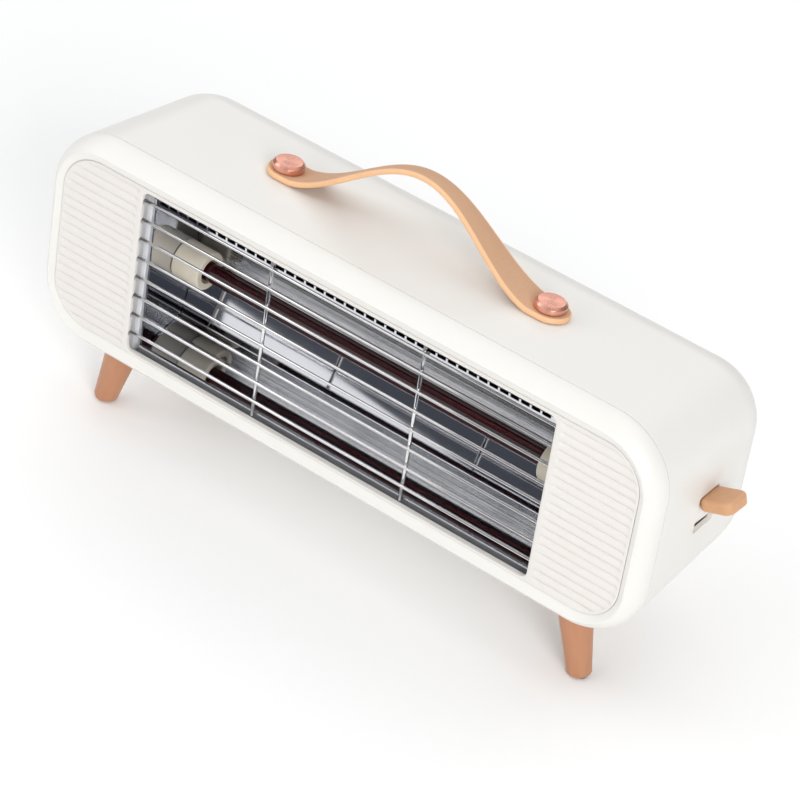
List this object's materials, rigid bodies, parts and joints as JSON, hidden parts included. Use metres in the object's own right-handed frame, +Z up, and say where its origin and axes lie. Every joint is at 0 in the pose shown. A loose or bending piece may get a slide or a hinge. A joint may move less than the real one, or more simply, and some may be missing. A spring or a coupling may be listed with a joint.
{
  "type": "radiant space heater",
  "caption": "Retro table-top radiant heater: white rounded housing, wire guard, quartz tube in a polished trough, leather strap, side toggle lever and four splayed feet.",
  "frame": {"origin": "middle of the whole part seen from above, on the plane that its four foot pads rest on", "axes": "+Z up; X along the heater, with the toggle lever on the +X side; -Y out of the front window and +Y to the back"},
  "size_m": [0.384, 0.1168, 0.1972],
  "materials": {
    "housing_white": "satin moulded white",
    "insert_white": "fine matt moulded off-white",
    "guard_chrome": "bright chrome wire",
    "reflector_polished": "polished sheet",
    "galvanised_sheet": "dull zinc",
    "steel_parts": "plain steel",
    "ceramic_cream": "unglazed cream ceramic",
    "ruby_quartz": "dark ruby quartz glass",
    "resistance_wire": "oxidised wire coil",
    "strap_leather": "natural tan, matt",
    "copper_screws": "rose copper plate, spun top",
    "lever_tan": "satin tan",
    "foot_tan": "stained and sealed",
    "rubber_dark": "matt",
    "black_plastic": "fine matt",
    "cream_plastic": "matt",
    "lead_sleeve": "woven glass sleeve"
  },
  "bodies": {
    "root": {"rear_shell": "housing_white", "front_bezel": "housing_white", "grille_frame": "insert_white", "wire_guard": "guard_chrome", "reflector": "reflector_polished", "reflector_end_left": "reflector_polished", "reflector_end_right": "reflector_polished", "heat_shield": "galvanised_sheet", "quartz_tube": "ruby_quartz", "heating_coil": "resistance_wire", "ceramic_cap_left": "ceramic_cream", "ceramic_cap_right": "ceramic_cream", "cap_retainer_left": "galvanised_sheet", "cap_retainer_right": "galvanised_sheet", "leather_strap": "strap_leather", "strap_screw_left": "copper_screws", "strap_screw_right": "copper_screws", "strap_nut_left": "steel_parts", "strap_nut_right": "steel_parts", "lever_pin": "steel_parts", "switch_bracket": "galvanised_sheet", "switch_body": "black_plastic", "foot_front_left": "foot_tan", "foot_front_right": "foot_tan", "foot_back_left": "foot_tan", "foot_back_right": "foot_tan", "foot_pad_front_left": "rubber_dark", "foot_pad_front_right": "rubber_dark", "foot_pad_back_left": "rubber_dark", "foot_pad_back_right": "rubber_dark", "foot_screw_front_left": "steel_parts", "foot_screw_front_right": "steel_parts", "foot_screw_back_left": "steel_parts", "foot_screw_back_right": "steel_parts", "tip_switch_frame": "galvanised_sheet", "thermal_cutout": "black_plastic", "terminal_block": "cream_plastic", "cord_gland": "black_plastic", "lead_tube_left": "lead_sleeve", "lead_tube_right": "lead_sleeve", "lead_switch": "lead_sleeve", "bezel_screw_1": "steel_parts", "bezel_screw_2": "steel_parts", "bezel_screw_3": "steel_parts", "bezel_screw_4": "steel_parts"},
    "lever": {"lever_drum": "housing_white", "lever_paddle": "lever_tan"},
    "pendulum": {"tip_pendulum": "steel_parts"}
  },
  "joints": [
    {"name": "lever_hinge", "type": "hinge", "parent": "root", "child": "lever", "pos_m": [0.15652, -0.00233, 0.101], "axis": [0, 1, 0], "range_deg": [0, 38]},
    {"name": "pendulum_hinge", "type": "hinge", "parent": "root", "child": "pendulum", "pos_m": [-0.15768, 0.00138, 0.084], "axis": [1, 0, 0], "range_deg": [-12, 12]}
  ]
}
